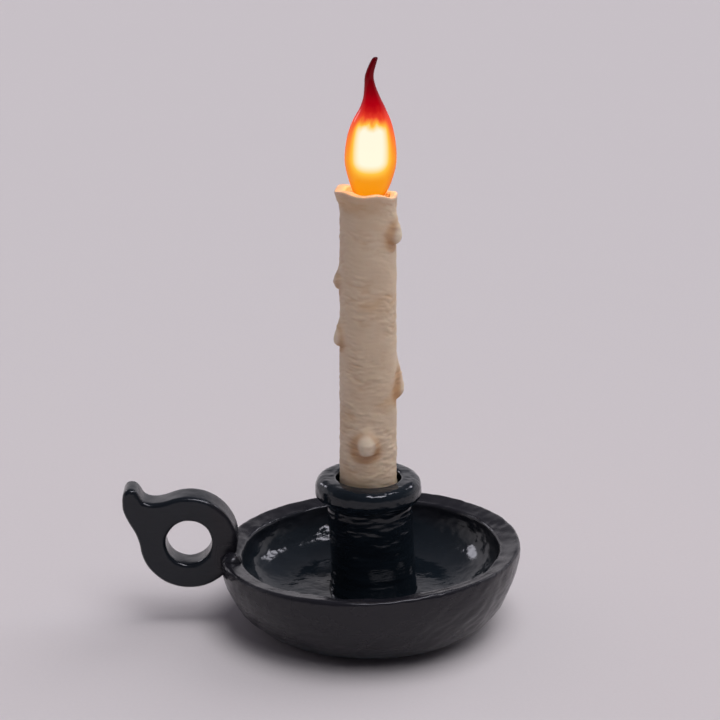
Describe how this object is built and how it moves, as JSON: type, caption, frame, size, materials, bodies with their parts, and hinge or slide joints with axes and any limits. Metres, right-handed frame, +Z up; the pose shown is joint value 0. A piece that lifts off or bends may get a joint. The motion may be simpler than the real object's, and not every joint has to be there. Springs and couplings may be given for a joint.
{
  "type": "led candle lamp",
  "caption": "Chamberstick-shaped table lamp: dark dish with ring handle and thumb rest, column with collar, dripping candle and flame bulb.",
  "frame": {"origin": "on the table, under the candle's axis, level with the underside of the rubber pad", "axes": "+Z up along the candle, -X towards the ring handle, +Y towards the charging port at the back"},
  "size_m": [0.2711, 0.206, 0.397],
  "materials": {
    "slate_resin": "glossy hand-tooled cast resin with a slate glaze",
    "candle_resin": "matte cream resin with ochre washes",
    "flame_glass": "frosted glass, amber below and red at the tip",
    "clear_glass": "clear lamp glass",
    "led_phosphor": "silicone with yellow phosphor",
    "brass": "bright turned brass",
    "steel": "zinc-plated steel",
    "black_plastic": "fine-grained black moulding",
    "white_ceramic": "off-white heat-proof moulding",
    "grey_button": "satin grey moulding",
    "rubber": "soft dark rubber",
    "board_green": "solder-masked glass-fibre board",
    "cell_wrap": "shrink sleeve",
    "red_lead": "insulated lead",
    "black_lead": "insulated lead"
  },
  "bodies": {
    "lamp": {"dish": "slate_resin", "ring_handle": "slate_resin", "candle_socket": "slate_resin", "candle_sleeve": "candle_resin", "holder_sleeve": "black_plastic", "holder_core": "white_ceramic", "holder_screw_shell": "brass", "centre_contact": "brass", "terminal_screws": "steel", "stem_tube": "steel", "tube_nuts": "brass", "tube_washers": "steel", "candle_spacers": "white_ceramic", "lamp_lead_live": "red_lead", "lamp_lead_return": "black_lead", "socket_screws": "steel", "base_cover": "black_plastic", "cover_screws": "steel", "base_pad": "rubber", "control_board": "board_green", "board_screws": "steel", "driver_chip": "black_plastic", "driver_coil": "black_plastic", "power_switch": "black_plastic", "battery_cell": "cell_wrap", "cell_cradle": "black_plastic", "cell_leaf": "steel", "cell_plate": "steel", "battery_lead_plus": "red_lead", "battery_lead_minus": "black_lead", "port_bezel": "black_plastic", "port_shell": "steel", "port_tongue": "black_plastic", "port_board": "board_green", "charge_lead_plus": "red_lead", "charge_lead_minus": "black_lead"},
    "bulb": {"bulb_glass": "flame_glass", "bulb_stem": "clear_glass", "led_filaments": "led_phosphor", "filament_frame": "steel", "bulb_screw_cap": "brass", "cap_insulator": "black_plastic", "cap_contact": "steel"},
    "button": {"button_cap": "grey_button", "switch_plunger": "white_ceramic"}
  },
  "joints": [
    {"name": "bulb_unscrew", "type": "hinge", "parent": "lamp", "child": "bulb", "pos_m": [0, 0, 0.29], "axis": [0, 0, 1], "range_deg": [0, 990]},
    {"name": "button_press", "type": "slide", "parent": "lamp", "child": "button", "axis": [0, 0, 1], "range_m": [0, 0.0015], "stiffness_N_per_m": 600, "springref_m": -0.0008}
  ]
}
